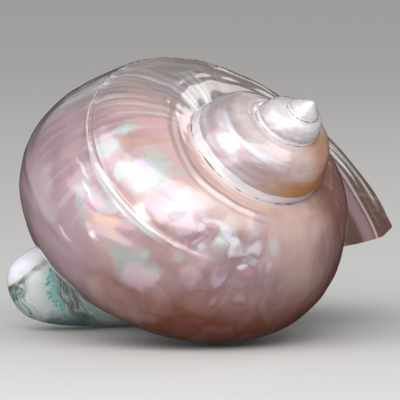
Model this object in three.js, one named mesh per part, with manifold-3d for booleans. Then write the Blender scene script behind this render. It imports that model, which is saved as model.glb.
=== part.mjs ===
// A polished turban shell: a right-handed snail shell of six turns with a round mouth, a thin
// outer lip and a thick lobe at the foot of its pillar. It is one grown piece, so it is one mesh.
// It rests on its body turn, its lobe and the edge of its mouth. Millimetres, +Z up, floor at z = 0.
import * as THREE from "three";
import { mergeVertices } from "three/addons/utils/BufferGeometryUtils.js";
import Module from "manifold-3d";

const TURN = 2 * Math.PI;
const { degToRad, lerp } = THREE.MathUtils;

// How the shell winds. A turn angle of 0 is the reference station, the lip is further on, and the
// apex is at minus infinity. Every length below is the one at the reference station.
const GROWTH_PER_TURN = 2.218;
const GROWTH = Math.log(GROWTH_PER_TURN) / TURN;

// The whorl's outline, in the half plane of distance from the axis and distance below the apex.
// An outline angle of 0 points away from the axis and 90 degrees points to the base.
const WHORL_RADIUS = 32.2;
const WHORL_OUT = 34.2;
const WHORL_DOWN = 86.9;
const SWELLS = [
  { by: 0.3, angle: degToRad(-98.5), width: degToRad(32) },
  { by: 0.11, angle: degToRad(-59), width: degToRad(22) },
  { by: 0.115, angle: degToRad(-135), width: degToRad(78) },
  { by: 0.083, angle: degToRad(58), width: degToRad(58) },
];

// How the last turn departs from the steady spiral, and how near its inner side stays to the axis.
const AGE_START = -2.5;
const AGE_SPAN = 4.5;
const AGE_RADIUS = [0.153, -0.385];
const AGE_OUT = [9.79, 2.72];
const AGE_DOWN = [-11.06, -2.52];
const INNER_GAP = 4;
const INNER_BASE_SQUARE = 0.6;
const PILLAR_THICKNESS = 14;

// The lip's turn angle leans forward towards the inner upper side, and bulges there and at its foot.
const LIP = { turn: 2.135, lean: 0.3, leanAngle: degToRad(-135) };
const LIP_BULGES = [
  { by: 0.125, angle: degToRad(-118), width: degToRad(30) },
  { by: 0.09, angle: degToRad(80), width: degToRad(30) },
];

// The whorl is made in stretches, each shorter than a turn: where each starts and its steps. The
// last one ends at the lip.
const STRETCHES = [
  { from: -35, steps: 8 },
  { from: -30.5, steps: 10 },
  { from: -25, steps: 11 },
  { from: -20, steps: 12 },
  { from: -15, steps: 14 },
  { from: -10, steps: 18 },
  { from: -5.2, steps: 26 },
  { from: -0.6, steps: 17 },
];
const AROUND = 32;

// The hollow behind the mouth: its wall at the lip and deep inside, and how far round it goes.
const HOLLOW = { lipWall: 1.6, deepWall: 4.2, turn: 5.4, around: 22, steps: 26 };

// The pillar runs down the axis and bends out at its foot, and the lobe lies along the floor from
// the mouth's lower corner to its free tip. Points are measured from the apex in the resting pose.
const PILLAR = [
  { at: [-1.2, 1, -1.6], tall: 0.1, wide: 0.1 },
  { at: [-23, 20, -30], tall: 6, wide: 6 },
  { at: [-38, 34, -51], tall: 15, wide: 15 },
  { at: [-48, 45, -65], tall: 19, wide: 20 },
  { at: [-58, 57, -70], tall: 17, wide: 19 },
  { at: [-72, 67, -72.5], tall: 13, wide: 14 },
];
const LOBE = [
  { at: [-30, 84, -69], tall: 14, wide: 16 },
  { at: [-54, 78, -73], tall: 14.5, wide: 15 },
  { at: [-76, 68, -73.5], tall: 15, wide: 13 },
  { at: [-96, 60, -72], tall: 14.5, wide: 11 },
  { at: [-110.5, 54, -68], tall: 10.5, wide: 8 },
];
const TONGUE_MESH = { around: 20, steps: 16 };

// The pose at rest: which way the axis points, seen from the front, and how far up the floor tips.
const AXIS_BEARING = 0.8887;
const AXIS_FORWARD = 0.5776;
const FRONT_TILT = degToRad(6);

function restPose() {
  const axis = new THREE.Vector3(
    Math.cos(AXIS_BEARING) * Math.cos(AXIS_FORWARD),
    Math.sin(AXIS_BEARING) * Math.cos(AXIS_FORWARD),
    Math.sin(AXIS_FORWARD),
  );
  const across = new THREE.Vector3(0, 0, 1).cross(axis).normalize();
  const third = axis.clone().cross(across);
  const lean = new THREE.Matrix4().makeRotationX(Math.PI / 2 - FRONT_TILT);
  return lean.multiply(new THREE.Matrix4().makeBasis(across, third, axis));
}
const POSE = restPose();

// A smooth bump round an outline angle.
function bump(at, { by, angle, width }) {
  const away = THREE.MathUtils.euclideanModulo(at - angle + Math.PI, TURN) - Math.PI;
  return by * Math.exp(-((away / width) ** 2));
}

// How far the last turn has aged: 0 until AGE_START, then an S that keeps growing.
function age(turn) {
  const u = Math.max(0, (turn - AGE_START) / AGE_SPAN);
  return u * u * (1.5 - 0.5 * Math.min(u, 1));
}

const aged = (first, [linear, square], old) => first + linear * old + square * old ** 2;

// A point of the outline at a turn angle, in the resting pose with the apex at the origin. A wall
// moves it inwards. The outside (no wall) also stretches in towards the axis.
function whorlPoint(turn, angle, wall = 0) {
  const grown = Math.exp(GROWTH * turn);
  const old = age(turn);
  const swell = SWELLS.reduce((sum, each) => sum + bump(angle, each), 1);
  const radius = WHORL_RADIUS * swell * aged(1, AGE_RADIUS, old) * grown - wall;
  const centreOut = aged(WHORL_OUT, AGE_OUT, old) * grown;
  const centreDown = aged(WHORL_DOWN, AGE_DOWN, old) * grown;
  let [across, along] = [radius * Math.cos(angle), radius * Math.sin(angle)];
  if (across < 0) {
    const square = along > 0 && wall === 0 ? INNER_BASE_SQUARE : 1;
    const gap = INNER_GAP + (wall > 0 ? PILLAR_THICKNESS : 0);
    across = -Math.max(radius, centreOut - gap) * (-Math.cos(angle)) ** square;
    along = radius * Math.sign(along) * Math.abs(Math.sin(angle)) ** square;
  }
  const out = centreOut + across;
  const down = centreDown + along;
  return new THREE.Vector3(out * Math.cos(turn), -out * Math.sin(turn), -down).applyMatrix4(POSE);
}

// The turn angle where the whorl ends, at an outline angle.
const lipTurn = (angle) => LIP_BULGES.reduce(
  (turn, each) => turn + bump(angle, each),
  LIP.turn + LIP.lean * Math.cos(angle - LIP.leanAngle),
);

const anglesRound = (steps) => Array.from({ length: steps }, (_, i) => (i / steps - 0.5) * TURN);

const centreOf = (points) => points
  .reduce((sum, p) => sum.add(p), new THREE.Vector3())
  .divideScalar(points.length);

const wasm = await Module();
wasm.setup();

function solid(geometry) {
  geometry.deleteAttribute("normal");
  geometry.deleteAttribute("uv");
  const merged = mergeVertices(geometry, 1e-4);
  return new wasm.Manifold(new wasm.Mesh({
    numProp: 3,
    vertProperties: new Float32Array(merged.attributes.position.array),
    triVerts: new Uint32Array(merged.index.array),
  }));
}

// A closed body from a list of rings of equal length, capped by a fan at each end.
function loft(rings) {
  const around = rings[0].length;
  const points = rings.flat();
  const first = points.push(centreOf(rings[0])) - 1;
  const last = points.push(centreOf(rings.at(-1))) - 1;
  const end = (rings.length - 1) * around;
  const faces = [];
  for (let i = 0; i < around; i++) {
    const next = (i + 1) % around;
    faces.push(first, i, next, last, end + next, end + i);
    for (let row = 0; row < end; row += around) {
      const a = row + i;
      const b = row + next;
      faces.push(a, a + around, b, b, a + around, b + around);
    }
  }
  const geometry = new THREE.BufferGeometry().setFromPoints(points);
  geometry.setIndex(faces);
  return solid(geometry);
}

// The whorl between two turn angles. The end may be a function of the outline angle.
function whorlStretch({ from, steps }, index) {
  const next = STRETCHES[index + 1];
  const endAt = next ? () => next.from : lipTurn;
  const rings = [];
  for (let j = 0; j <= steps; j++)
    rings.push(anglesRound(AROUND).map((angle) => whorlPoint(lerp(from, endAt(angle), j / steps), angle)));
  return loft(rings);
}

// The hollow starts just past the lip, goes back into the shell and narrows to a rounded end.
function hollow() {
  const rings = [];
  for (let j = HOLLOW.steps; j >= 0; j--) {
    const share = j / HOLLOW.steps;
    const wall = lerp(HOLLOW.lipWall, HOLLOW.deepWall, Math.min(1, share * 4));
    const ring = anglesRound(HOLLOW.around)
      .map((angle) => whorlPoint(lipTurn(angle) + 0.12 - share * HOLLOW.turn, angle, wall));
    const centre = centreOf(ring);
    const narrow = Math.sqrt(1 - Math.max(0, (share - 0.8) / 0.205) ** 2);
    rings.push(ring.map((p) => p.lerp(centre, 1 - narrow)));
  }
  return loft(rings);
}

// A round-ended tongue along a smooth curve through its stations.
function tongue(stations) {
  const curve = new THREE.CatmullRomCurve3(stations.map(({ at }) => new THREE.Vector3(...at)));
  const rings = [];
  for (let j = 0; j <= TONGUE_MESH.steps; j++) {
    const t = j / TONGUE_MESH.steps;
    const place = Math.min(t * (stations.length - 1), stations.length - 1.001);
    const [before, after] = stations.slice(Math.floor(place), Math.floor(place) + 2);
    const tip = Math.sqrt(1 - Math.max(0, (t - 0.8) / 0.205) ** 2);
    const tall = lerp(before.tall, after.tall, place % 1) * tip;
    const wide = lerp(before.wide, after.wide, place % 1) * tip;
    const along = curve.getTangent(t);
    const side = new THREE.Vector3(0, 0, 1).cross(along).normalize();
    const up = along.clone().cross(side);
    rings.push(anglesRound(TONGUE_MESH.around).map((angle) => curve.getPoint(t)
      .addScaledVector(side, -wide * Math.cos(angle))
      .addScaledVector(up, tall * Math.sin(angle))));
  }
  return loft(rings);
}

const outside = STRETCHES.map(whorlStretch);
const joined = wasm.Manifold.union([...outside, tongue(PILLAR), tongue(LOBE)]).subtract(hollow());
const largest = (a, b) => (a.volume() > b.volume() ? a : b);
const { vertProperties, triVerts } = joined.simplify(0.03).decompose().reduce(largest).getMesh();
const geometry = new THREE.BufferGeometry();
geometry.setAttribute("position", new THREE.BufferAttribute(vertProperties, 3));
geometry.setIndex(new THREE.BufferAttribute(triVerts, 1));

geometry.computeBoundingBox();
const middle = geometry.boundingBox.getCenter(new THREE.Vector3());
geometry.translate(-middle.x, -middle.y, -geometry.boundingBox.min.z);

const shell = new THREE.Mesh(geometry, new THREE.MeshStandardMaterial({
  color: 0xd9bfb8, roughness: 0.2, metalness: 0,
}));
shell.name = "turban_shell";

const part = new THREE.Group();
part.add(shell);
export default part;
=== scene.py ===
"""A polished turban shell, ground down to its mother-of-pearl, on a pale studio floor.

The shell is one grown piece: overlapping stretches of one growing spiral, the pillar and the lobe at
its foot are joined, and the hollow behind the mouth is cut out, so its mesh is watertight.
"""
import math
from functools import partialmethod

import bmesh
import bpy
import numpy as np
from bpy.props import FloatProperty, FloatVectorProperty, IntProperty, PointerProperty
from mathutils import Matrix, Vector


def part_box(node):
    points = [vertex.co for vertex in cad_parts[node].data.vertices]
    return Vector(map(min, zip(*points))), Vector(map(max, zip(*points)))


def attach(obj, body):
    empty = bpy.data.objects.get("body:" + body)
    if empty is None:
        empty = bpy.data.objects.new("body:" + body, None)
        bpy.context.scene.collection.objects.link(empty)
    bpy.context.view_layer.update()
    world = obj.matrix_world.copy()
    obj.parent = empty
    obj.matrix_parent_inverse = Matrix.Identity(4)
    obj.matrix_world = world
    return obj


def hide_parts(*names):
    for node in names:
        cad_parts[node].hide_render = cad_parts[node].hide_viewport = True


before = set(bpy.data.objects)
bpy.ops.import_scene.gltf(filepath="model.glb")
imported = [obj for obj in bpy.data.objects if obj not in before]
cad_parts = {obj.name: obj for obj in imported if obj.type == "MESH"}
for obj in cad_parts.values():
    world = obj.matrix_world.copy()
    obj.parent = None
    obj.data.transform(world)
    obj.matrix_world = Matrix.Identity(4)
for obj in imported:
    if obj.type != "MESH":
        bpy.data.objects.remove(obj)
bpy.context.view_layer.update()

bl_info = {
    "name": "Polished Turban Shell",
    "version": (1, 0, 0),
    "blender": (4, 5, 0),
    "location": "3D View > Sidebar > Turban Shell",
    "description": "Grows a polished turban shell in mother-of-pearl and sets a small studio",
    "category": "Object",
}

CAD_NODE = "turban_shell"
SHELL_NAME = "polished_shell"

# The winding formulas below are in millimetres from the apex, and MM turns them into metres.
MM = 0.001
TURN = 2 * math.pi

# How the shell winds. A turn angle of 0 is the reference station, the lip is further on, and the
# apex is at minus infinity. An outline angle of 0 points away from the axis, and 90 degrees points
# to the base. A bump is its height, and its place and width in degrees of outline.
GROWTH = math.log(2.218) / TURN
WHORL_RADIUS = 32.2
WHORL_OUT = 34.2
WHORL_DOWN = 86.9
SWELLS = ((0.3, -98.5, 32), (0.11, -59, 22), (0.115, -135, 78), (0.083, 58, 58))

# How the last turn departs from the steady spiral: from where and over what span of turn, and the
# linear and square changes of the outline's radius and of its centre's distance out and down.
AGE_START = -2.5
AGE_SPAN = 4.5
AGE_RADIUS = (0.153, -0.385)
AGE_OUT = (9.79, 2.72)
AGE_DOWN = (-11.06, -2.52)

# How near the outline's inner side stays to the axis, how square its base is there, and the pillar.
INNER_GAP = 4
INNER_BASE_SQUARE = 0.6
PILLAR_THICKNESS = 14

# Where the whorl ends: a turn angle, how much it leans forward and towards which outline angle, and
# two bumps.
LIP_TURN = 2.135
LIP_LEAN = (0.3, -135)
LIP_BULGES = ((0.125, -118, 30), (0.09, 80, 30))

# The stretches that the whorl is made in: the turn angle where each starts, and its steps.
STRETCHES = ((-20, 40), (-15, 52), (-10, 84), (-5.2, 116), (-0.6, 126))

# The hollow: its wall at the lip and deep inside, how far round it goes, and how far past the lip it
# starts, as turn angles.
LIP_WALL = 1.6
DEEP_WALL = 4.2
HOLLOW_TURN = 5.4
HOLLOW_START = 0.12

# The pillar and the lobe: stations as x, y, z, half height and half width, in the resting pose.
PILLAR = (
    (-1.2, 1, -1.6, 0.1, 0.1),
    (-23, 20, -30, 6, 6),
    (-38, 34, -51, 15, 15),
    (-48, 45, -65, 19, 20),
    (-58, 57, -70, 17, 19),
    (-72, 67, -72.5, 13, 14),
)
LOBE = (
    (-30, 84, -69, 14, 16),
    (-54, 78, -73, 14.5, 15),
    (-76, 68, -73.5, 15, 13),
    (-96, 60, -72, 14.5, 11),
    (-110.5, 54, -68, 10.5, 8),
)

# Points round each tongue, and steps along it.
PILLAR_MESH = (64, 60)
LOBE_MESH = (96, 90)

# The worn tip: a smooth blunt cone over the first turns, with its slope, depth and bluntness, the
# shares of the way down between which it draws in again, and its rings.
TIP_SLOPE = 0.95
TIP_DEPTH = 9.5
TIP_BLUNT = 1.1
TIP_DRAWS_IN = (0.8, 1.25)
TIP_STEPS = 90

# The seam on the worn tip: the turn angle in its middle, its depth there, the groove's depth and its
# width as a share of the seam's depth, the step in above it, and where the step and the seam fade.
TIP_SEAM_TURN = -20.5
TIP_SEAM_DEPTH = 6.6
TIP_SEAM_CUT = 0.1
TIP_SEAM_WIDTH = 0.03
TIP_SEAM_STEP = 0.15
TIP_SEAM_EDGE = (-0.06, 0.02)
TIP_SEAM_TOP = (2, 4)
TIP_SEAM_FRONT = (-0.7, 0)

# How far the worn spire leans across the axis at its tip, and the depths where the lean starts to
# fall and is gone.
SPIRE_LEAN = 0.8
LEAN_DEPTHS = (26, 56)

# How much the first turns are worn down, in reference millimetres, and the turn angles between
# which the wear fades.
TIP_WEAR = 5.0
WORN_TURNS = (-20.5, -16)

# The shoulder keel: the outline angle that it follows, as a parabola of the turn angle, and the turn
# angles past which it is level.
KEEL_CURVE = (-0.845, -0.349, -0.172)
KEEL_HELD = (-2.6, 0.9)

# Ridges along the turns: their share of the keel's or the cord's height, and their places and widths
# in degrees of outline. The first two are measured from the keel.
KEEL = (1, 0, 1.5)
GROOVE = (-0.35, -4, 1.4)
SECOND_KEEL = (0.5, 12, 3)
CORDS = ((1, -84, 2.4), (0.5, -90, 1.3))
EARLY_CORD = (0.5, -60, 3)

# The turn angles between which parts of the relief rise, or rise and then fall.
KEEL_RISE = (-2.1, -1.1)
SECOND_KEEL_TURNS = ((-1.25, -0.9), (-0.25, 0.1))
EARLY_CORD_FALL = (-5, -4)
FOLD_TURNS = ((-0.55, -0.3), (0.1, 0.4))
WAVE_RISE = (-5.5, -4.0)

# The turn angle from one fold to the next.
FOLD_PITCH = 0.075

# Where folds fade inside the keel, as an angle towards the apex, and outside it, from the keel.
FOLD_INNER_FADE = (1.15, 1.5)
FOLD_OUTER_FADE = (0.25, 0.7)

# How far past the lip, as a turn angle, a point may still belong to the last turn, and how many
# millimetres are added to its distance past that.
LIP_MARGIN = 0.1
PAST_LIP_PENALTY = 50

# Faces that meet at more than this many degrees keep a sharp edge.
SHARP_ANGLE = 38

# The resting pose: the bearing of the axis, how far it leans forward, and the floor's tip.
AXIS_BEARING = 0.8887
AXIS_FORWARD = 0.5776
FRONT_TILT = math.radians(6)


def resting_pose():
    """The matrix from the spiral's own frame (axis along z) to the resting pose: the axis frame is
    across = Z x axis, third = axis x across and axis, tipped about X by 90 degrees less the tilt."""
    flat = math.cos(AXIS_FORWARD)
    bearing = np.array([math.cos(AXIS_BEARING), math.sin(AXIS_BEARING)])
    axis = np.array([*bearing * flat, math.sin(AXIS_FORWARD)])
    across = np.cross([0, 0, 1], axis)
    across /= np.linalg.norm(across)
    third = np.cross(axis, across)
    c, s = math.sin(FRONT_TILT), math.cos(FRONT_TILT)
    tip = np.array([[1, 0, 0], [0, c, -s], [0, s, c]])
    return tip @ np.stack([across, third, axis], axis=1)


POSE = resting_pose()


def wrapped(angle):
    """An angle brought to the range -pi to pi."""
    return np.mod(angle + math.pi, TURN) - math.pi


def bump(at, height, centre, width):
    """A smooth bump round an angle: height * exp(-((at - centre) / width)^2), in degrees."""
    return height * np.exp(-((wrapped(at - math.radians(centre)) / math.radians(width)) ** 2))


def smoothstep(value, low, high):
    """0 below low, 1 above high, and 3t^2 - 2t^3 between them."""
    t = np.clip((value - low) / (high - low), 0, 1)
    return t * t * (3 - 2 * t)


def held_between(value, rise, fall):
    """Rises smoothly from 0 to 1 over the rise, and falls back to 0 over the fall."""
    return smoothstep(value, *rise) * (1 - smoothstep(value, *fall))


def spire_lean(spiral):
    """The spire's lean at points in the spiral's frame: sideways, falling smoothly with depth."""
    sideways = np.array([-POSE[0, 0], -POSE[0, 1], 0])
    share = 1 - smoothstep(-spiral[..., 2], *LEAN_DEPTHS)
    return share[..., None] * sideways * SPIRE_LEAN / np.linalg.norm(sideways)


def posed(spiral):
    """Points from the spiral's frame, leaned and turned to the resting pose."""
    return (spiral + spire_lean(spiral)) @ POSE.T


def unposed(points):
    """The inverse of posed, which is exact because the lean leaves the depth alone."""
    spiral = points @ POSE
    return spiral - spire_lean(spiral)


def ageing(turn):
    """How far the last turn has aged: u^2 (1.5 - 0.5 min(u, 1)), with u the share of AGE_SPAN."""
    u = np.maximum(0, (turn - AGE_START) / AGE_SPAN)
    return u * u * (1.5 - 0.5 * np.minimum(u, 1))


def aged(first, change, old):
    """first + a * old + b * old^2."""
    return first + change[0] * old + change[1] * old**2


def whorl_frame(turn):
    """The outline's radius before swelling, and its centre's distance out and down, at a turn."""
    grown = np.exp(GROWTH * turn)
    old = ageing(turn)
    radius = WHORL_RADIUS * aged(1, AGE_RADIUS, old) * grown
    return radius, aged(WHORL_OUT, AGE_OUT, old) * grown, aged(WHORL_DOWN, AGE_DOWN, old) * grown


def swelling(angle):
    """The outline's swelling round the outline angle: 1 plus a sum of bumps."""
    return 1 + sum(bump(angle, *each) for each in SWELLS)


def lip_turn(angle):
    """The turn angle where the whorl ends: a leaning plane plus two bulges."""
    lean, toward = LIP_LEAN
    plane = LIP_TURN + lean * np.cos(angle - math.radians(toward))
    return plane + sum(bump(angle, *each) for each in LIP_BULGES)


def keel_angle(turn):
    """The outline angle of the shoulder keel: a parabola in the turn angle, held level at its ends."""
    held = np.clip(turn, *KEEL_HELD)
    level, slope, bend = KEEL_CURVE
    return level + slope * held + bend * held**2


def relief(turn, angle, sizes):
    """How far the polished surface stands proud, in millimetres on a whorl of the reference size:
    the shoulder keel with a groove inside it, a second faint keel, two cords under the suture,
    short folds behind the keel, and slow undulations from sums of sines."""
    past_keel = angle - keel_angle(turn)
    on_last = smoothstep(turn, *KEEL_RISE)
    keels = on_last * (bump(past_keel, *KEEL) + bump(past_keel, *GROOVE))
    keels += held_between(turn, *SECOND_KEEL_TURNS) * bump(angle, *SECOND_KEEL)
    cords = sum(bump(angle, *cord) for cord in CORDS)
    cords += bump(angle, *EARLY_CORD) * (1 - smoothstep(turn, *EARLY_CORD_FALL))
    fold_in, fold_out = math.radians(8), math.radians(6)
    inward = smoothstep(-past_keel, 0, fold_in) * (1 - smoothstep(-angle, *FOLD_INNER_FADE))
    outward = held_between(past_keel, (0, fold_out), FOLD_OUTER_FADE)
    folds = np.sin(TURN * turn / FOLD_PITCH + 3 * np.sin(1.7 * turn + angle))
    folds *= held_between(turn, *FOLD_TURNS) * (inward + 0.4 * outward)
    slow = np.sin(7.3 * turn + 2.1 * np.sin(3 * angle)) * np.sin(5 * angle + 1.9 * np.sin(2.3 * turn))
    quick = np.sin(17 * turn - 4 * angle + 1.3 * np.sin(9 * angle)) * np.sin(11 * angle + 3 * turn)
    waves = slow + 0.8 * quick * smoothstep(turn, *WAVE_RISE)
    heights = (sizes.keel_height, sizes.cord_height, sizes.fold_depth, sizes.undulation)
    return sum(height / MM * shape for height, shape in zip(heights, (keels, cords, folds, waves)))


def whorl_points(turn, angle, wall=0, proud=0):
    """Points of the whorl: centre + radius (cos, sin) in the half plane of distance out and down,
    turned about the axis. A wall moves the outline inwards; proud moves it out. The inner side of
    the outline stretches in towards the axis, and squares off below."""
    radius, centre_out, centre_down = whorl_frame(turn)
    size = radius * swelling(angle) - wall + proud * np.exp(GROWTH * turn)
    cos, sin = np.cos(angle), np.sin(angle)
    lined = np.max(wall) > 0
    square = np.where((sin > 0) & (not lined), INNER_BASE_SQUARE, 1)
    reach = np.maximum(size, centre_out - INNER_GAP - (PILLAR_THICKNESS if lined else 0))
    inner = cos < 0
    across = np.where(inner, -reach * np.abs(cos) ** square, size * cos)
    along = np.where(inner, size * np.sign(sin) * np.abs(sin) ** square, size * sin)
    out = centre_out + across
    return posed(np.stack([out * np.cos(turn), -out * np.sin(turn), -(centre_down + along)], axis=-1))


def angles_round(count):
    """Outline angles all the way round, from -pi."""
    return (np.arange(count) / count - 0.5) * TURN


def tip_narrowing(share, rounding=0.2):
    """1 along a body, falling to nearly 0 over its last fifth as a quarter ellipse."""
    past = np.maximum(0, (share - 1 + rounding) / (rounding * 1.025))
    return np.sqrt(1 - past**2)


def whorl_stretch(index, sizes):
    """The grid of one stretch: turn angles run to the next stretch's start, or to the lip."""
    start, steps = STRETCHES[index]
    angle = angles_round(sizes.around)
    last = index + 1 == len(STRETCHES)
    end = lip_turn(angle) if last else np.full_like(angle, STRETCHES[index + 1][0])
    share = np.linspace(0, 1, steps + 1)[:, None]
    turn = start + (end - start) * share
    angle = np.broadcast_to(angle, turn.shape)
    wear = TIP_WEAR * (1 - smoothstep(turn, *WORN_TURNS))
    return whorl_points(turn, angle, proud=relief(turn, angle, sizes) - wear)


def hollow_grid(sizes):
    """The hollow's grid, from its deep rounded end out past the lip."""
    share = np.linspace(1, 0, sizes.hollow_steps)[:, None]
    angle = angles_round(sizes.around * 2 // 3)
    turn = lip_turn(angle) + HOLLOW_START - HOLLOW_TURN * share
    wall = LIP_WALL + (DEEP_WALL - LIP_WALL) * np.minimum(1, 4 * share)
    angle, wall = (np.broadcast_to(each, turn.shape) for each in (angle, wall))
    rings = whorl_points(turn, angle, wall=wall)
    centre = rings.mean(axis=1, keepdims=True)
    return centre + (rings - centre) * tip_narrowing(share)[..., None]


def smooth_curve(points, t):
    """Catmull-Rom: between points 1 and 2, 0.5 (2 p1 + (p2 - p0) t + (2 p0 - 5 p1 + 4 p2 - p3) t^2
    + (3 p1 - p0 - 3 p2 + p3) t^3), with the end points mirrored past the ends."""
    padded = np.concatenate([[2 * points[0] - points[1]], points, [2 * points[-1] - points[-2]]])
    place = np.clip(t * (len(points) - 1), 0, len(points) - 1 - 1e-9)
    index = place.astype(int)
    u = (place - index)[:, None]
    p0, p1, p2, p3 = (padded[index + k] for k in range(4))
    square = 2 * p0 - 5 * p1 + 4 * p2 - p3
    cube = 3 * p1 - p0 - 3 * p2 + p3
    return 0.5 * (2 * p1 + (p2 - p0) * u + square * u**2 + cube * u**3)


def tongue_grid(stations, around, steps):
    """A round-ended tongue: an ellipse of half width and half height carried along a smooth curve."""
    table = np.array(stations, float)
    t = np.linspace(0, 1, steps + 1)
    centre = smooth_curve(table[:, :3], t)
    tall, wide = (smooth_curve(table[:, 3:], t) * tip_narrowing(t)[:, None]).T[:, :, None, None]
    along = np.gradient(centre, axis=0)
    along /= np.linalg.norm(along, axis=1, keepdims=True)
    side = np.cross([0, 0, 1], along)
    side /= np.linalg.norm(side, axis=1, keepdims=True)
    up = np.cross(along, side)
    angle = angles_round(around)[:, None]
    ring = -side[:, None] * wide * np.cos(angle) + up[:, None] * tall * np.sin(angle)
    return centre[:, None] + ring


def past_tip_seam(turn, depth):
    """How far below the tip's seam a depth lies, as a share of the seam's depth, and how plain the
    seam is there: the seam goes down in step with the growth, and fades out behind the tip."""
    away = wrapped(turn - TIP_SEAM_TURN)
    plain = smoothstep(np.cos(away), *TIP_SEAM_FRONT)
    return depth / (TIP_SEAM_DEPTH * np.exp(GROWTH * away)) - 1, plain


def worn_tip_grid(around):
    """The worn tip: a hyperbola turned about the axis, its radius slope times the root of depth
    squared less the blunt depth squared, drawn in again over its last third. It steps in above its
    seam, which is a narrow groove."""
    share = np.linspace(0, 1, TIP_STEPS + 1)
    depth = TIP_BLUNT + (TIP_DEPTH - TIP_BLUNT) * share**1.5
    radius = TIP_SLOPE * np.sqrt(depth**2 - TIP_BLUNT**2) * (1 - smoothstep(share, *TIP_DRAWS_IN))
    angle = -angles_round(around)
    out, down = radius[:, None], depth[:, None]
    past, plain = past_tip_seam(-angle, down)
    groove = TIP_SEAM_CUT * np.exp(-((past / TIP_SEAM_WIDTH) ** 2))
    cut = TIP_SEAM_STEP * (1 - smoothstep(past, *TIP_SEAM_EDGE)) + groove
    out = out - plain * cut * smoothstep(down, *TIP_SEAM_TOP)
    return posed(np.stack(np.broadcast_arrays(out * np.cos(angle), out * np.sin(angle), -down), axis=-1))


def closed_body(name, rings, material):
    """A closed mesh from a grid of rings: quads between rings, and a fan on each end."""
    rows, around = rings.shape[:2]
    ends = np.stack([rings[0].mean(axis=0), rings[-1].mean(axis=0)])
    points = np.concatenate([rings.reshape(-1, 3), ends]) * MM
    here = np.arange(around)
    after = (here + 1) % around
    row = np.arange(rows - 1)[:, None] * around
    quads = np.stack([row + here, row + around + here, row + around + after, row + after], axis=-1)
    first, last, end = rows * around, rows * around + 1, (rows - 1) * around
    fans = [np.stack([np.full(around, first), here, after], axis=1)]
    fans.append(np.stack([np.full(around, last), end + after, end + here], axis=1))
    mesh = bpy.data.meshes.new(name)
    mesh.from_pydata(points, [], quads.reshape(-1, 4).tolist() + np.concatenate(fans).tolist())
    mesh.materials.append(material)
    body = bpy.data.objects.new(name, mesh)
    bpy.context.scene.collection.objects.link(body)
    return body


def joined_mesh(bodies, hollow, name):
    """The union of the bodies less the hollow, as a new mesh that keeps each face's material."""
    others = bpy.data.collections.new(name)
    for body in bodies[1:]:
        others.objects.link(body)
    join = bodies[0].modifiers.new("join", "BOOLEAN")
    join.operation, join.solver, join.material_mode = "UNION", "MANIFOLD", "TRANSFER"
    join.operand_type, join.collection = "COLLECTION", others
    cut = bodies[0].modifiers.new("cut", "BOOLEAN")
    cut.operation, cut.solver, cut.material_mode = "DIFFERENCE", "MANIFOLD", "TRANSFER"
    cut.object = hollow
    finished = bodies[0].evaluated_get(bpy.context.evaluated_depsgraph_get())
    mesh = bpy.data.meshes.new_from_object(finished)
    mesh.name = name
    for body in [*bodies, hollow]:
        bpy.data.objects.remove(body)
    bpy.data.collections.remove(others)
    drop_scraps(mesh)
    return mesh


def drop_scraps(mesh):
    """Deletes the slivers that a join leaves loose: every vertex takes the lowest number among its
    neighbours until nothing changes, and only the commonest number is kept."""
    ends = numbers(mesh.edges, "vertices", np.int32, 2)
    label = np.arange(len(mesh.vertices))
    settled = False
    while not settled:
        lowest = label.copy()
        np.minimum.at(lowest, ends[:, 0], label[ends[:, 1]])
        np.minimum.at(lowest, ends[:, 1], label[ends[:, 0]])
        lowest = lowest[lowest]
        settled = np.array_equal(lowest, label)
        label = lowest
    loose = np.flatnonzero(label != np.bincount(label).argmax())
    work = bmesh.new()
    work.from_mesh(mesh)
    work.verts.ensure_lookup_table()
    bmesh.ops.delete(work, geom=[work.verts[index] for index in loose], context="VERTS")
    work.to_mesh(mesh)
    work.free()


def numbers(items, key, kind, width=1):
    """One property of every item of a mesh collection, as an array."""
    values = np.empty(len(items) * width, kind)
    items.foreach_get(key, values)
    return values.reshape(-1, width) if width > 1 else values


def clearance(points, turn, sizes):
    """How far points lie outside the outline at a turn, measured in its half plane and in
    millimetres on a whorl of the reference size, and their outline angles there."""
    radius, centre_out, centre_down = whorl_frame(turn)
    out = np.hypot(points[..., 0], points[..., 1])
    across, along = out - centre_out, -points[..., 2] - centre_down
    angle = np.arctan2(along, across)
    away = (np.hypot(across, along) - radius * swelling(angle)) / np.exp(GROWTH * turn)
    return away - relief(turn, angle, sizes), angle


def winding_of(points, sizes):
    """The turn angle and outline angle of points in the spiral's own frame: of the turns that share
    a point's bearing, the one whose outline passes nearest."""
    bearing = np.arctan2(-points[:, 1], points[:, 0])
    turns = bearing + TURN * np.arange(-5, 1)[:, None]
    away, angles = clearance(points, turns, sizes)
    off = np.abs(away) + PAST_LIP_PENALTY * (turns > lip_turn(angles) + LIP_MARGIN)
    best = np.argmin(off, axis=0)
    row = np.arange(len(points))
    return turns[best, row], angles[best, row]


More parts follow.
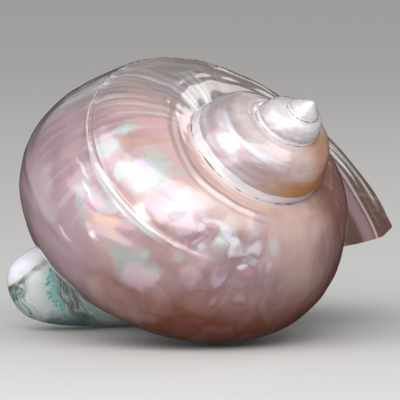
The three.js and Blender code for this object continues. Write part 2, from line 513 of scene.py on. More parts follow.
def store_winding(mesh, apex, sizes):
    """Writes two corner attributes. winding is the turn angle, the outline angle and the depth
    below the apex. margins is the clearance to the next turn and to the turn before, and the outline
    angle past the shoulder keel."""
    corner_vertex = numbers(mesh.loops, "vertex_index", np.int32)
    counts = numbers(mesh.polygons, "loop_total", np.int32)
    middles = unposed(numbers(mesh.polygons, "center", np.float32, 3).astype(float) / MM - apex)
    points = unposed(numbers(mesh.vertices, "co", np.float32, 3).astype(float) / MM - apex)
    face_turn, _ = winding_of(middles, sizes)
    points = points[corner_vertex]
    near = np.repeat(face_turn, counts)
    turn = near + wrapped(np.arctan2(-points[:, 1], points[:, 0]) - near)
    _, angle = clearance(points, turn, sizes)
    following = clearance(points, turn + TURN, sizes)[0] * math.exp(GROWTH * TURN)
    preceding = clearance(points, turn - TURN, sizes)[0] / math.exp(GROWTH * TURN)
    for label, parts in {
        "winding": (turn, angle, -points[:, 2]),
        "margins": (following, preceding, angle - keel_angle(turn)),
    }.items():
        attribute = mesh.attributes.new(label, "FLOAT_VECTOR", "CORNER")
        attribute.data.foreach_set("vector", np.stack(parts, axis=1).astype(np.float32).ravel())


class Term:
    """A socket in an expression. Operators add Math nodes, and step and between add masks."""

    def __init__(self, paint, socket):
        self.paint, self.socket = paint, socket

    def maths(self, operation, *others):
        return self.paint.maths(operation, self, *others)

    __add__ = __radd__ = partialmethod(maths, "ADD")
    __mul__ = __rmul__ = partialmethod(maths, "MULTIPLY")
    __sub__ = partialmethod(maths, "SUBTRACT")
    __truediv__ = partialmethod(maths, "DIVIDE")

    def __rsub__(self, other):
        return self.paint.maths("SUBTRACT", other, self)

    def step(self, low, high):
        """0 at low and 1 at high, smoothly."""
        settings = {"interpolation_type": "SMOOTHSTEP"}
        values = {"Value": self, "From Min": low, "From Max": high}
        return self.paint.node("ShaderNodeMapRange", settings, values)

    def between(self, low, high, soft):
        """1 between low and high, with soft edges outside them."""
        return self.step(low - soft, low) * (1 - self.step(high, high + soft))


class Paint:
    """A material under construction, with its palette and its base colour so far."""

    def __init__(self, name, colours=None):
        self.material = bpy.data.materials.new(name)
        self.material.use_nodes = True
        self.tree = self.material.node_tree
        self.tree.nodes.clear()
        self.colours, self.colour = colours, None

    def node(self, kind, settings=None, values=(), output=0):
        """Adds a node: its settings first, then its sockets' values or links, by order or by name."""
        node = self.tree.nodes.new(kind)
        for key, value in (settings or {}).items():
            if key == "stops":
                self.set_stops(node.color_ramp, value)
            else:
                setattr(node, key, value)
        pairs = values.items() if isinstance(values, dict) else enumerate(values)
        for key, value in pairs:
            self.feed(node.inputs[key], value)
        return Term(self, node.outputs[output]) if node.outputs else None

    def feed(self, socket, value):
        """Links or sets a socket. A name stands for the palette's colour, and a tuple that starts
        with a term for a vector."""
        if isinstance(value, str):
            value = getattr(self.colours, value)
        if isinstance(value, tuple) and isinstance(value[0], Term):
            value = self.node("ShaderNodeCombineXYZ", values=value)
        if isinstance(value, Term):
            self.tree.links.new(value.socket, socket)
        elif hasattr(value, "__len__") and socket.type == "RGBA" and len(value) == 3:
            socket.default_value = (*value, 1)
        else:
            socket.default_value = value

    def maths(self, operation, *values):
        return self.node("ShaderNodeMath", {"operation": operation}, values)

    def set_stops(self, ramp, stops):
        ramp.interpolation = "EASE"
        while len(ramp.elements) < len(stops):
            ramp.elements.new(1)
        for element, (place, name) in zip(ramp.elements, stops):
            element.position = place
            element.color = (*getattr(self.colours, name), 1)

    def mix(self, colour, *layers):
        """A colour with shades laid over it, each with its share."""
        settings = {"data_type": "RGBA", "clamp_factor": True}
        for shade, share in layers:
            colour = self.node("ShaderNodeMix", settings, {0: share, 6: colour, 7: shade}, output=2)
        return colour

    def lay(self, shade, share):
        """Lays a shade over the colour so far."""
        self.colour = self.mix(self.colour, (shade, share))

    def split(self, vector):
        parts = self.node("ShaderNodeSeparateXYZ", values=(vector,))
        return [Term(self, output) for output in parts.socket.node.outputs]

    def attribute(self, name):
        vector = self.node("ShaderNodeAttribute", {"attribute_name": name}, output="Vector")
        return self.split(vector)

    def noise(self, place, scale, detail=2.0, distortion=0.0, output="Fac"):
        values = {"Vector": place, "Scale": scale, "Detail": detail, "Distortion": distortion}
        return self.node("ShaderNodeTexNoise", values=values, output=output)

    def cells(self, place, scale, smoothness=1.0):
        """Soft-edged cells, each with a random colour."""
        settings = {"feature": "SMOOTH_F1"}
        values = {"Vector": place, "Scale": scale, "Smoothness": smoothness}
        return self.node("ShaderNodeTexVoronoi", settings, values, output="Color")

    def bumped(self, height, distance, strength=1.0):
        values = {"Height": height, "Distance": distance, "Strength": strength}
        return self.node("ShaderNodeBump", values=values)

    def finish(self, varying, uniform):
        """The Principled shader with varying inputs, and uniform ones set on its own sockets."""
        shader = self.node("ShaderNodeBsdfPrincipled", values={**uniform, **varying})
        self.node("ShaderNodeOutputMaterial", values={"Surface": shader})
        return self.material


# Where single patches of fire lie: colour, place, size and strength. Places and sizes are in radians
# of turn and degrees of outline. The pearl, mint and lilac patches in the band inside the keel are
# partly painted highlight, and the sage and pink pair low on the body is a painted reflection of a
# window-shaped light.
PATCHES = (
    ("mint", -0.94, -64, 0.2, 16, 0.8),
    ("lilac", -0.86, -60, 0.09, 9, 0.7),
    ("pearl", -0.58, -52, 0.2, 12, 0.4),
    ("mint", -0.5, -66, 0.1, 10, 0.6),
    ("apricot", -0.62, -62, 0.09, 8, 0.6),
    ("pink_mauve", -0.48, -80, 0.16, 16, 0.8),
    ("pink", -1.26, -60, 0.26, 14, 0.8),
    ("pearl", -1.3, -70, 0.2, 8, 0.6),
    ("mauve", -1.5, -52, 0.1, 7, 0.9),
    ("mint", -1.68, -64, 0.12, 8, 0.9),
    ("pearl", -1.76, -60, 0.12, 7, 0.8),
    ("mauve", -1.88, -55, 0.14, 8, 0.9),
    ("apricot", -0.98, -22, 0.16, 13, 0.8),
    ("pink", -0.84, -28, 0.1, 9, 0.8),
    ("pearl", -0.55, 3, 0.2, 15, 0.3),
    ("mauve", -0.3, -14, 0.3, 16, 0.5),
    ("sage", -1.3, -12, 0.24, 18, 0.6),
    ("pink", -1.46, -3, 0.16, 10, 0.65),
    ("mauve", -1.62, -24, 0.2, 12, 0.6),
    ("pearl", -1.84, -62, 0.16, 6, 0.9),
    ("pearl", -1.6, -66, 0.16, 6, 0.6),
)

# Small sharp glints among the fire, written in the same way: painted highlights, with deep pink
# beside some, a broad painted highlight on the smaller turn and a painted mauve shade beside it.
GLINTS = (
    ("pearl", -0.64, -30, 0.12, 1.5, 0.8),
    ("white", -0.78, -25, 0.1, 1.4, 0.9),
    ("pink", -0.9, -28, 0.08, 3, 0.9),
    ("magenta", -0.86, -23, 0.1, 2.2, 0.7),
    ("magenta", -1.12, -26, 0.05, 3, 0.5),
    ("white", -1.04, -8, 0.035, 2.6, 1.0),
    ("pearl", -0.88, 8, 0.1, 2, 0.7),
    ("mint", -1.7, -57, 0.06, 4, 0.6),
    ("pearl", -1.62, -50, 0.04, 4, 0.8),
    ("magenta", -1.58, -53, 0.04, 3, 0.5),
    ("white", -1.95, -46, 0.05, 3, 0.8),
    ("magenta", -2.0, -44, 0.06, 3, 0.5),
    ("white", -1.75, -61, 0.12, 2.6, 0.8),
    ("white", -1.68, -57, 0.06, 1.8, 0.6),
    ("magenta", -1.47, -47, 0.07, 1.6, 0.6),
    ("white", -1.12, -44, 0.12, 4, 0.7),
    ("white", -7.22, -42, 0.3, 16, 0.8),
    ("mauve", -7.55, -48, 0.18, 12, 0.4),
)


# In the functions below, the numbers in step and between are places, in radians of turn or outline
# or in levels of noise, and a number that multiplies a share is its strength.


def lay_spots(paint, turn, angle, spots):
    """Soft oval patches, 1 in the middle and 0 at the edge."""
    for name, at_turn, at_angle, long, wide, strength in spots:
        along = (turn - at_turn) / long
        across = (angle - math.radians(at_angle)) / math.radians(wide)
        paint.lay(name, (1 - (along * along + across * across).step(0.0, 1.0)) * strength)


def lay_ground(paint, turn, angle, cloud, drift):
    """The colour under the fire on the last turn: rose beige with mauve clouds, peach and then umber
    to the right, umber to the base, both umbers a painted dark reflection and shade, olive grey and
    taupe on to the lip, and white at the lip's foot."""
    paint.colour = "rose"
    paint.lay("mauve", cloud.step(0.42, 0.66) * 0.8)
    leftwards = turn.between(-0.9, 0.1, 0.4) * angle.between(-0.5, 0.5, 0.3)
    paint.lay("lilac_mauve", leftwards * 0.8)
    near_suture = 1 - angle.step(-1.4, -1.05)
    paint.lay("peach", near_suture * turn.between(-2.9, -0.5, 0.4))
    swayed = turn + (drift - 0.5) * 0.8
    # Painted dark reflection and shade: umber towards the base and, below, far to the right.
    base_side = (angle + (drift - 0.5) * 0.6).step(math.radians(-55), math.radians(12))
    paint.lay("umber", base_side * (1 - swayed.step(-1.9, -0.9)))
    far_right = 1 - swayed.step(-3.2, -2.5)
    paint.lay("umber", far_right * 0.7)
    paint.lay("olive", swayed.step(-0.25, 0.1) * 0.9)
    behind = [("olive", cloud.step(0.3, 0.7) * 0.6), ("rose", drift.step(0.4, 0.7) * 0.35)]
    paint.lay(paint.mix("lilac_mauve", *behind), swayed.step(0.5, 1.1))
    flare = 1 - angle.step(-1.15, -0.7)
    paint.lay("taupe_pearl", swayed.step(0.3, 1.1) * (flare * 0.8 + 0.1))
    paint.lay("umber", swayed.step(1.9, 2.5) * flare * 0.5)
    paint.lay("porcelain", turn.step(1.4, 1.8) * angle.step(1.8, 2.2))


def lay_fire_and_highlights(paint, turn, angle, cells):
    """Lays pale fire over the ground: cells long across the turns, each pink, mint, lilac or darker by
    its own random numbers, and the single patches, whose edges the cells break up. In the lit band
    inside the keel this fire, with its shards, is partly a painted highlight broken into facets."""
    first, second, third = cells
    tint = paint.mix("pink", ("mint", first.step(0.4, 0.65)), ("lilac", second.step(0.5, 0.75)))
    # Painted highlight: the band inside the keel where the pale fire stands for the lamps' reflection.
    highlight_band = turn.between(-2.1, -0.5, 0.25) * angle.between(-1.15, -0.45, 0.4)
    faint = turn.between(-2.2, 0.2, 0.5) * 0.12
    faint += turn.between(0.8, 2.4, 0.4) * angle.step(-1.0, -0.3) * 0.15
    paint.lay("mauve", (1 - third.step(0.15, 0.45)) * (highlight_band * 0.35 + faint))
    paint.lay(tint, third.step(0.4, 0.8) * (highlight_band * 0.5 + faint))
    bent_turn = turn + (first - 0.5) * 0.16
    bent_angle = angle + (second - 0.5) * 0.26
    lay_spots(paint, bent_turn, bent_angle, PATCHES)
    first, second, third = paint.split(paint.cells((turn * 15, angle * 7), 1.0, 0.8))
    # The shards break the painted highlight into small facets.
    shards = turn.between(-2.05, -1.1, 0.2) * angle.between(-1.05, -0.7, 0.25)
    tint = paint.mix("pink", ("mint", first.step(0.5, 0.7)))
    paint.lay(tint, shards * second.step(0.5, 0.75) * 0.55)
    paint.lay("mauve", shards * third.step(0.55, 0.75) * 0.5)


def lay_folds(paint, turn, angle, past_keel):
    """Soft pale and dark folds that fan from the keel, their pale and dark streaks a painted highlight
    and painted shade, mint streaks under the suture that are a painted highlight, a painted shadow
    below them, and a fine lilac strip and a light line along the lip's flare."""
    comb = paint.noise((turn * 13 + angle * 0.6, angle * 0.7), 1.0, 1.2)
    behind = turn.between(-0.4, 0.2, 0.15) * past_keel.between(-0.75, -0.04, 0.2)
    before = turn.between(-0.75, 0.0, 0.2) * past_keel.between(0.1, 0.6, 0.2)
    # Painted highlight and painted shade along the folds.
    paint.lay("pearl", comb.step(0.5, 0.66) * (behind * 0.8 + before * 0.3))
    paint.lay("mauve", (1 - comb.step(0.32, 0.46)) * (behind * 0.6 + before * 0.3))
    # Painted highlight: mint and lilac streaks under the suture.
    under_suture = turn.between(0.25, 0.62, 0.12) * angle.between(-1.85, -1.5, 0.15)
    streak_tint = paint.mix("mint", ("lilac", (turn * 9).maths("SINE").step(-0.2, 0.4)))
    paint.lay(streak_tint, under_suture * comb.step(0.46, 0.58) * 0.65)
    shadow = turn.between(0.3, 1.1, 0.2) * angle.between(-1.5, -1.1, 0.2)
    paint.lay("mauve", shadow * comb.step(0.5, 0.66) * 0.6)
    flare = turn.step(1.5, 1.9)
    strip = angle.between(-1.79, -1.71, 0.06)
    paint.lay("lilac_mauve", flare * strip * 0.6)
    line = (angle + turn * 0.02).between(-1.6, -1.585, 0.02)
    paint.lay("cream", flare * line * 0.6)


def lay_keel(paint, turn, past_keel, broken):
    """The painted highlight on the keel: a thin uneven line that widens into a wedge, with a painted
    shade line in the groove inside it.
    """
    width = 0.01 + turn.between(-1.5, -0.75, 0.3) * 0.035
    away = (past_keel - 0.01) / width
    crest = 1 - away.maths("ABSOLUTE").step(0.6, 1.6)
    share = crest * turn.between(-1.2, 0.35, 0.25) * (0.6 + broken * 0.4)
    # Painted highlight along the keel's crest.
    paint.lay("white", share * 0.85)
    # Painted shade in the groove inside the keel.
    groove = past_keel.between(-0.05, -0.042, 0.012) * turn.between(-1.3, -0.3, 0.2)
    paint.lay("mauve", groove * (1 - broken.step(0.5, 0.65)) * 0.9)


def lay_earlier_turns(paint, turn, angle, following, drift):
    """The smaller turns: pale rose with soft streaks along the spiral, a bluish line, cream under
    the next suture, white towards the tip, a white band above each suture, and on the right an
    orange stain above the band."""
    earlier = 1 - turn.step(-5.0, -3.8)
    streaks = paint.noise((turn * 1.8, angle * 5), 1.0, 3)
    shaded = turn.between(-8.3, -7.5, 0.3) * angle.between(-0.9, -0.5, 0.3)
    under_suture = 1 - angle.step(-1.35, -1.1)
    line = (angle + (streaks - 0.5) * 0.1).between(-1.05, -1.0, 0.06) * turn.between(-7.9, -6.8, 0.4)
    swayed = turn + (drift - 0.5) * 0.4
    warm = (1 - swayed.step(-8.7, -7.7)) * turn.step(-10.6, -9.6)
    pale = paint.mix(
        "pale_rose",
        ("white", streaks.step(0.48, 0.72) * 0.4),
        ("mauve", (1 - streaks.step(0.35, 0.55)) * 0.3 + shaded * 0.35),
        ("cream", under_suture * 0.6),
        ("blue_white", line * 0.8),
        ("peach", warm * 0.7),
    )
    paint.lay(pale, earlier)
    low = 1 - (following + (drift - 0.5) * 8).step(20, 36)
    far = 1 - swayed.step(-9.2, -8.6)
    paint.lay("orange", warm * (low * 0.9 + far * 0.65))
    spire = 1 - turn.step(-12.9, -11.9)
    paint.lay("white", spire * following.step(4.0, 30.0) * 0.55)
    worn = 1 - turn.step(-21.5, -20.0)
    paint.lay("white", worn * 0.7)
    band = (1 - (following + drift * 2).step(10.6, 11.6)) * earlier * (1 - worn)
    shade = turn.between(-10.2, -8.9, 0.7)
    paint.lay(paint.mix("white", ("bluish", shade)), band * 0.95)


def lay_sutures(paint, turn, angle, margins, broken):
    """Beside each suture: a dark seam broken into dashes and, on the last turn, a pale cord whose pale
    line is a painted highlight, with a brown line on either side."""
    following, preceding = margins
    cord = (turn + 1.2).maths("MAXIMUM", 0.0) * 0.15 + angle + math.radians(82)
    away = cord.maths("ABSOLUTE")
    on_cord = turn.between(-1.7, -0.35, 0.5)
    paint.lay("mauve", away.between(0.035, 0.05, 0.025) * on_cord * 0.5)
    # Painted highlight along the cord.
    paint.lay("pearl", (1 - away.step(0.01, 0.03)) * on_cord * broken * 0.9)
    rim = (1 - preceding.step(1.2, 2.4)) * on_cord
    paint.lay("cream", rim * 0.7)
    gap = following.maths("ABSOLUTE").maths("MINIMUM", preceding * 2.2)
    wide = broken.step(0.48, 0.62) * 1.6
    seam = (1 - gap.step(wide * 0.5, wide + 0.01)) * broken.step(0.48, 0.52)
    seam *= turn.between(-21.5, -1.2, 0.6)
    paint.lay("seam", seam * 0.95)


def lay_tip_seam(paint, turn, depth):
    """The tip's seam: a thin broken dark line in the groove, and a fainter one just above it."""
    low, high = TIP_SEAM_TURN - math.pi, TIP_SEAM_TURN + math.pi
    away = turn.maths("WRAP", high, low) - TIP_SEAM_TURN
    grown = away * GROWTH
    past = depth / (grown.maths("EXPONENT") * TIP_SEAM_DEPTH) - 1
    dashes = paint.noise((away * 7, 0.0), 1.0, 1)
    front = away.between(-1.5, 1.3, 0.3)
    line = past.between(-0.012, 0.012, 0.02) * dashes.step(0.4, 0.5)
    paint.lay("seam", line * front * 0.85)
    upper = past.between(-0.11, -0.1, 0.015) * (1 - dashes.step(0.45, 0.55))
    paint.lay("seam", upper * front * 0.5)


def nacre_material(colours):
    """Polished mother-of-pearl: the ground colours with a painted dark reflection towards the base, the
    fire with painted highlights and a painted reflection among it, folds with painted highlights and
    shade, growth lines, the painted highlight on the keel, the smaller turns, painted glints, and a
    dark broken seam in each suture."""
    paint = Paint("polished_nacre", colours)
    turn, angle, depth = paint.attribute("winding")
    following, preceding, past_keel = paint.attribute("margins")
    place = paint.node("ShaderNodeTexCoord", output="Object")

    sway_turn, sway_angle, drift = paint.split(paint.noise(place, 85, 4, output="Color"))
    wavy_turn = turn + (sway_turn - 0.5) * 0.2
    wavy_angle = angle + (sway_angle - 0.5) * 0.3
    cells = paint.split(paint.cells((wavy_turn * 9, wavy_angle * 4), 1.0))
    cloud = paint.noise(place, 34, 3, 0.4)
    growth = paint.noise((turn * 24, angle * 1.3), 1.0, 3, 0.3)
    slow = paint.noise((turn * 3.1, 0.0), 1.0, 2)
    quick = paint.noise((turn * 11, 0.0), 1.0, 1)
    broken = slow + (quick + 0.06 - slow) * (1 - turn.step(-18.6, -18.0))

    lay_ground(paint, turn, angle, cloud, drift)
    upper_side = 1 - angle.step(-0.6, 0.2)
    paint.lay("cream", growth.step(0.5, 0.8) * (upper_side * 0.2 + 0.01))
    lay_fire_and_highlights(paint, wavy_turn, wavy_angle, cells)
    lay_folds(paint, turn, angle, past_keel)
    lay_keel(paint, turn, past_keel, broken)
    lay_earlier_turns(paint, turn, angle, following, drift)
    # Painted highlights, and a painted shade, from the glint table.
    lay_spots(paint, wavy_turn, wavy_angle, GLINTS)
    lay_sutures(paint, turn, angle, (following, preceding), broken)
    lay_tip_seam(paint, turn, depth)

    fine = paint.noise((turn * 80, angle * 1.5, cloud), 1.0, 2)
    height = (growth * 0.5 + fine * 0.15) * (0.12 + upper_side * 0.88) + cloud * 1.5
    normal = paint.bumped(height, 0.0006, 0.22)
    return paint.finish(
        {
            "Base Color": paint.colour,
            "Roughness": 0.22 + cloud * 0.14,
            "Metallic": 0.14 + cells[2] * 0.14,
            "Normal": normal,
        },
        {"Coat Weight": 1.0, "Coat Roughness": 0.05, "Coat IOR": 1.5, "IOR": 1.6},
    )


# The lobe's marbling, in millimetres: the height that its bands bend round and how much they bend,
# and a point (x, z) and the slope of the slanting line under its pale upper face.
BAND_MIDDLE = 17
BAND_BEND = 0.047
FACE_POINT = (-66.8, 17.7)
FACE_SLOPE = 0.77


def callus_material(colours):
    """The lobe and pillar: porcelain with marbled bands across the lobe. A band's place is
    x - bend * (z - middle)^2, streaks run along the bands, and a slanting olive line parts the pale
    upper face, lightened further with painted light, from the rest and widens into a green smudge at
    the tip."""
    paint = Paint("marbled_callus", colours)
    place = paint.node("ShaderNodeTexCoord", output="Object")
    x, y, z = (part / MM for part in paint.split(place))
    sway = paint.noise(place, 160, 4) - 0.5
    speckle = paint.noise(place, 900, 3)
    off_middle = z - BAND_MIDDLE
    band = x - off_middle * off_middle * BAND_BEND + sway * 6
    streak = paint.noise((band * 1.5, z * 0.2, y * 0.2), 1.0, 5, 0.6)
    thin = paint.noise((band * 4, z * 0.3, y * 0.2), 1.0, 3, 0.3)
    cloud = paint.noise(place, 110, 3, 1.0)

    tip = 1 - band.step(-66, -60)
    paint.colour = "porcelain"
    paint.lay("sage", tip * (0.4 + cloud.step(0.4, 0.6) * 0.5))
    paint.lay("green", streak.step(0.52, 0.6) * tip * speckle.step(0.3, 0.6))
    paint.lay("mint", band.step(-60.0, -54.5) * 0.8)
    paint.lay("teal", band.step(-58.5, -54.5) * speckle.step(0.4, 0.65) * 0.4)
    edge = (band + (speckle - 0.5) * 5).between(-54.2, -53.0, 1.3)
    paint.lay("teal", edge * (0.3 + cloud.step(0.35, 0.55) * 0.7))
    paint.lay("green", edge * speckle.step(0.5, 0.62) * 0.5)
    marbled = paint.mix(
        "taupe",
        ("sage", streak.step(0.45, 0.58)),
        ("porcelain", streak.step(0.55, 0.66) * 0.8),
        ("green", (1 - thin.step(0.33, 0.42)) * 0.7),
        ("teal", (1 - streak.step(0.3, 0.38)) * 0.8),
        ("mint", band.between(-44, -30, 3) * 0.6),
    )
    paint.lay(marbled, band.step(-53.2, -51.2))
    low = (1 - (z + sway * 8).step(4.0, 8.0)) * x.between(-54, -42, 3)
    paint.lay("deep_teal", low * (0.6 + speckle * 0.4))
    above = z - (x - FACE_POINT[0]) * FACE_SLOPE - FACE_POINT[1] + sway * 3
    paint.lay("porcelain", above.step(0.0, 1.2) * (1 - x.step(-54, -48)))
    # Painted light: the upper face is lightened where it faces up to the lamps.
    face = above.step(1.0, 4.0) * (1 - x.step(-54, -48))
    paint.lay("lilac_white", face * 0.8)
    smudge = above.between(-6.0, -1.0, 1.5) * (1 - x.step(-65.5, -61.0))
    paint.lay("green", smudge * speckle.step(0.25, 0.6) * 0.85)
    line = above.between(-0.9, 0.0, 1.0) * (1 - x.step(-56, -50))
    paint.lay("moss", line * (0.25 + cloud.step(0.35, 0.6) * 0.65))
    paint.lay("porcelain", y.step(0, 30) * 0.6)
    plain = x.step(-38, -26)
    shade = paint.mix("porcelain", ("mint", cloud.step(0.4, 0.65) * 0.5))
    paint.lay(shade, plain * 0.92)
    normal = paint.bumped((streak + thin * 0.4) * (1 - plain), 0.0004, 0.4)
    return paint.finish(
        {"Base Color": paint.colour, "Roughness": 0.25 + cloud * 0.1, "Normal": normal},
        {"Coat Weight": 0.7, "Coat Roughness": 0.1},
    )


def lining_material(colours):
    """The inside of the mouth: smooth pearl, paler and more even than the outside."""
    paint = Paint("mouth_pearl", colours)
    place = paint.node("ShaderNodeTexCoord", output="Object")
    cloud = paint.noise(place, 30, 3, 0.8)
    stops = [(0.2, "pearl"), (0.5, "pink"), (0.8, "blue_white")]
    colour = paint.node("ShaderNodeValToRGB", {"stops": stops}, (cloud,))
    return paint.finish(
        {"Base Color": colour, "Roughness": 0.22 + cloud * 0.1},
        {"Metallic": 0.15, "Coat Weight": 0.8, "Coat Roughness": 0.06},
    )


def size_property(name, description, default):
    """A length in metres that the user may change."""
    return FloatProperty(name=name, description=description, default=default, unit="LENGTH", precision=5)


def colour_property(name, description, default):
    """A scene-linear colour that the user may change."""
    return FloatVectorProperty(
        name=name, description=description, default=default, subtype="COLOR", min=0, max=1
    )


class ShellSizes(bpy.types.PropertyGroup):
    """The relief of the polished surface, and the fineness of the mesh."""

    keel_height: size_property("Keel height", "Height of the shoulder keel on the last turn", 0.0008)
    cord_height: size_property("Cord height", "Height of the cord under the suture", 0.00055)
    fold_depth: size_property("Fold depth", "Half depth of the short folds beside the keel", 0.0003)
    undulation: size_property("Undulation", "Half height of the slow waves left by polishing", 0.0002)
    around: IntProperty(name="Around", description="Points round the whorl", default=216, min=48)
    hollow_steps: IntProperty(name="Hollow steps", description="Rings in the hollow", default=90, min=24)


# The colours of the mother-of-pearl and of the marbled lobe: what each is for, and its value. Some
# also stand for painted light and shade: umber for a painted dark reflection and shade low on the
# body and to the right, pearl, white and mint for painted highlights, mauve for painted shade, and
# the lobe's upper face colour for painted light.
COLOURS = {
    "rose": ("Main rose beige", 0.54, 0.37, 0.35),
    "mauve": ("Greyish mauve clouds", 0.36, 0.23, 0.26),
    "lilac_mauve": ("Left side", 0.48, 0.335, 0.38),
    "pink_mauve": ("Dull pink by the suture", 0.68, 0.42, 0.44),
    "peach": ("Warm beige under the suture", 0.66, 0.46, 0.41),
    "cream": ("Growth lines", 0.8, 0.68, 0.66),
    "umber": ("Reddish brown of the base", 0.19, 0.047, 0.017),
    "olive": ("Greenish grey of the upper side", 0.33, 0.3, 0.29),
    "lilac": ("Lilac fire", 0.62, 0.52, 0.72),
    "mint": ("Mint fire", 0.56, 0.69, 0.67),
    "pink": ("Pink fire", 0.68, 0.49, 0.58),
    "magenta": ("Deep pink beside glints", 0.62, 0.28, 0.42),
    "pearl": ("Whitish fire", 0.68, 0.65, 0.7),
    "apricot": ("Apricot patches", 0.66, 0.4, 0.3),
    "orange": ("Orange brown of the smaller turn", 0.5, 0.22, 0.09),
    "white": ("White band above the suture", 0.84, 0.83, 0.87),
    "pale_rose": ("Smaller turns", 0.52, 0.43, 0.45),
    "taupe_pearl": ("Towards the lip", 0.145, 0.11, 0.095),
    "blue_white": ("Line along the smaller turn", 0.6, 0.63, 0.7),
    "bluish": ("Shaded end of the white band", 0.46, 0.46, 0.56),
    "seam": ("Dark line in the suture", 0.06, 0.05, 0.06),
    "porcelain": ("White of the lobe", 0.66, 0.68, 0.7),
    "lilac_white": ("Upper face of the lobe", 0.8, 0.79, 0.9),
    "teal": ("Teal marbling", 0.3, 0.62, 0.6),
    "deep_teal": ("Low edge of the lobe", 0.05, 0.13, 0.14),
    "green": ("Dark green marbling", 0.06, 0.13, 0.11),
    "taupe": ("Taupe streaks", 0.2, 0.21, 0.2),
    "sage": ("Pale green part of the lobe", 0.4, 0.52, 0.48),
    "moss": ("Olive line of the lobe", 0.12, 0.13, 0.07),
}


class ShellColours(bpy.types.PropertyGroup):
    """The colours of the mother-of-pearl and of the marbled lobe."""

    __annotations__ = {
        key: colour_property(key.replace("_", " ").capitalize(), use, value)
        for key, (use, *value) in COLOURS.items()
    }


class StudioSettings(bpy.types.PropertyGroup):
    """The floor, the lights and the camera."""

    camera_distance: size_property("Camera distance", "From the lens to the middle of the view", 4.0)
    view_width: size_property("View width", "Width of what the camera takes in", 0.144)
    aim_down: size_property("Aim offset", "How far the aim lies before the shell's middle", -0.0124)
    aim_height: size_property("Aim height", "Height of the middle of the view", 0.0491)
    floor_size: size_property("Floor size", "Side of the floor", 12.0)
    floor_colour: colour_property("Floor", "Pale floor", (0.6, 0.595, 0.59))
    room_light: FloatProperty(name="Room light", description="Light from the room", default=0.6, min=0)
    room_mirror: FloatProperty(name="Room mirror", description="Room in reflections", default=0.03, min=0)


class SHELL_OT_grow(bpy.types.Operator):
    """Grow the polished shell in one piece"""

    bl_idname = "turban_shell.grow"
    bl_label = "Grow Shell"

    def execute(self, context):
        sizes, colours = context.scene.shell_sizes, context.scene.shell_colours
        nacre, callus = nacre_material(colours), callus_material(colours)
        lining = lining_material(colours)
        bodies = [
            closed_body(f"stretch_{index}", whorl_stretch(index, sizes), nacre)
            for index in reversed(range(len(STRETCHES)))
        ]
        bodies += [
            closed_body("worn_tip", worn_tip_grid(sizes.around // 2), nacre),
            closed_body("pillar", tongue_grid(PILLAR, *PILLAR_MESH), callus),
            closed_body("lobe", tongue_grid(LOBE, *LOBE_MESH), callus),
        ]
        hollow = closed_body("hollow", hollow_grid(sizes), lining)
        mesh = joined_mesh(bodies, hollow, SHELL_NAME)
        if not mesh.polygons:
            raise RuntimeError("joining the stretches left no surface")
        shift = self.settle(mesh)
        store_winding(mesh, shift / MM, sizes)
        mesh.shade_smooth()
        mesh.set_sharp_from_angle(angle=math.radians(SHARP_ANGLE))
        shell = bpy.data.objects.new(SHELL_NAME, mesh)
        context.scene.collection.objects.link(shell)
        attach(shell, "root")
        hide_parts(CAD_NODE)
        return {"FINISHED"}

    @staticmethod
    def settle(mesh):
        """Moves the mesh over the CAD shell: the boxes share their middle, and z starts at the floor."""
        points = numbers(mesh.vertices, "co", np.float32, 3)
        low, high = points.min(axis=0), points.max(axis=0)
        cad_low, cad_high = (np.array(corner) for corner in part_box(CAD_NODE))
        shift = (cad_low + cad_high - low - high) / 2
        shift[2] = cad_low[2] - low[2]
        mesh.vertices.foreach_set("co", (points + shift).astype(np.float32).ravel())
        mesh.update()
        return shift


# The softboxes: name, bearing and height in degrees, distance and size in metres, and power.
SOFTBOXES = (
    ("key_left", -64, 42, 0.8, (0.62, 0.5), 1.45),
    ("key", -18, 48, 0.8, (0.7, 0.55), 1.8),
    ("key_right", 30, 44, 0.8, (0.62, 0.5), 1.7),
    ("front", -12, 20, 1.6, (1.6, 0.8), 7.5),
    ("low_left", -50, 8, 0.9, (0.5, 0.2), 0.75),
    ("back", 138, 32, 0.8, (0.15, 0.4), 0.5),
    ("rim", 178, 24, 0.9, (1.2, 0.25), 0.25),
)


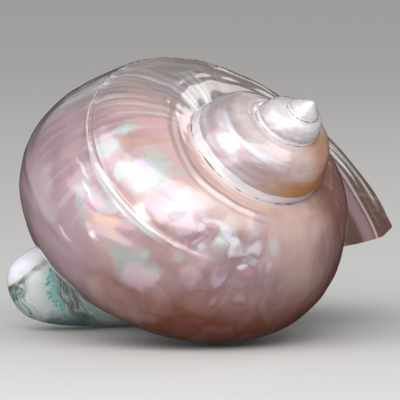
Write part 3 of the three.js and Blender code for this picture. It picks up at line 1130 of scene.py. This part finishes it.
class SHELL_OT_studio(bpy.types.Operator):
    """Set the floor, the soft lights and the camera"""

    bl_idname = "turban_shell.studio"
    bl_label = "Set Studio"

    def execute(self, context):
        studio = context.scene.shell_studio
        self.lay_floor(studio)
        self.light_room(context, studio)
        self.hang_softboxes(context, studio)
        self.place_camera(context, studio)
        context.scene.view_settings.view_transform = "Standard"
        return {"FINISHED"}

    @staticmethod
    def lay_floor(studio):
        """A plain square floor at z = 0."""
        half = studio.floor_size / 2
        mesh = bpy.data.meshes.new("floor")
        corners = [(-half, -half, 0), (half, -half, 0), (half, half, 0), (-half, half, 0)]
        mesh.from_pydata(corners, [], [(0, 1, 2, 3)])
        paint = Paint("pale_floor")
        mesh.materials.append(paint.finish({}, {"Base Color": studio.floor_colour, "Roughness": 0.7}))
        floor = bpy.data.objects.new("floor", mesh)
        floor.visible_glossy = False
        bpy.context.scene.collection.objects.link(floor)

    @staticmethod
    def light_room(context, studio):
        """An even pale room that is darker in reflections, as black cloth round the table makes it."""
        world = bpy.data.worlds.new("room")
        world.use_nodes = True
        tree = world.node_tree
        background = tree.nodes["Background"]
        path = tree.nodes.new("ShaderNodeLightPath")
        shade = tree.nodes.new("ShaderNodeMapRange")
        shade.inputs["To Min"].default_value = studio.room_light
        shade.inputs["To Max"].default_value = studio.room_mirror
        tree.links.new(path.outputs["Is Glossy Ray"], shade.inputs["Value"])
        tree.links.new(shade.outputs["Result"], background.inputs["Strength"])
        background.inputs["Color"].default_value = (1, 0.99, 0.98, 1)
        context.scene.world = world

    @staticmethod
    def hang_softboxes(context, studio):
        """Each softbox hangs at a bearing and height about the shell and faces it."""
        for name, bearing, height, distance, size, power in SOFTBOXES:
            light = bpy.data.lights.new(name, "AREA")
            light.shape = "RECTANGLE"
            light.size, light.size_y = size
            light.energy = power
            lamp = bpy.data.objects.new(name, light)
            turn, rise = math.radians(bearing), math.radians(height)
            flat = math.cos(rise)
            away = Vector((math.sin(turn) * flat, -math.cos(turn) * flat, math.sin(rise)))
            lamp.location = Vector((0, 0, studio.aim_height)) + away * distance
            lamp.rotation_euler = away.to_track_quat("Z", "Y").to_euler()
            context.scene.collection.objects.link(lamp)

    @staticmethod
    def place_camera(context, studio):
        """A long lens that looks level along +Y, tipped down by the resting tilt."""
        camera = bpy.data.cameras.new("camera")
        camera.lens = camera.sensor_width * studio.camera_distance / studio.view_width
        camera.clip_end = 4 * studio.camera_distance
        eye = bpy.data.objects.new("camera", camera)
        toward = Vector((0, -math.cos(FRONT_TILT), math.sin(FRONT_TILT)))
        eye.location = Vector((0, studio.aim_down, studio.aim_height)) + toward * studio.camera_distance
        eye.rotation_euler = (math.pi / 2 - FRONT_TILT, 0, 0)
        context.scene.collection.objects.link(eye)
        context.scene.camera = eye


class SHELL_PT_panel(bpy.types.Panel):
    """Lists the shell's operators in the 3D view's sidebar"""

    bl_label = "Turban Shell"
    bl_idname = "SHELL_PT_panel"
    bl_space_type = "VIEW_3D"
    bl_region_type = "UI"
    bl_category = "Turban Shell"

    def draw(self, context):
        for operator in (SHELL_OT_grow, SHELL_OT_studio):
            self.layout.operator(operator.bl_idname)


CLASSES = (ShellSizes, ShellColours, StudioSettings, SHELL_OT_grow, SHELL_OT_studio, SHELL_PT_panel)
SETTINGS = {"shell_sizes": ShellSizes, "shell_colours": ShellColours, "shell_studio": StudioSettings}


def register():
    for each in CLASSES:
        bpy.utils.register_class(each)
    for name, group in SETTINGS.items():
        setattr(bpy.types.Scene, name, PointerProperty(type=group))


def unregister():
    for name in SETTINGS:
        delattr(bpy.types.Scene, name)
    for each in reversed(CLASSES):
        bpy.utils.unregister_class(each)


def main():
    register()
    bpy.ops.turban_shell.grow()
    bpy.ops.turban_shell.studio()


if __name__ == "__main__":
    main()
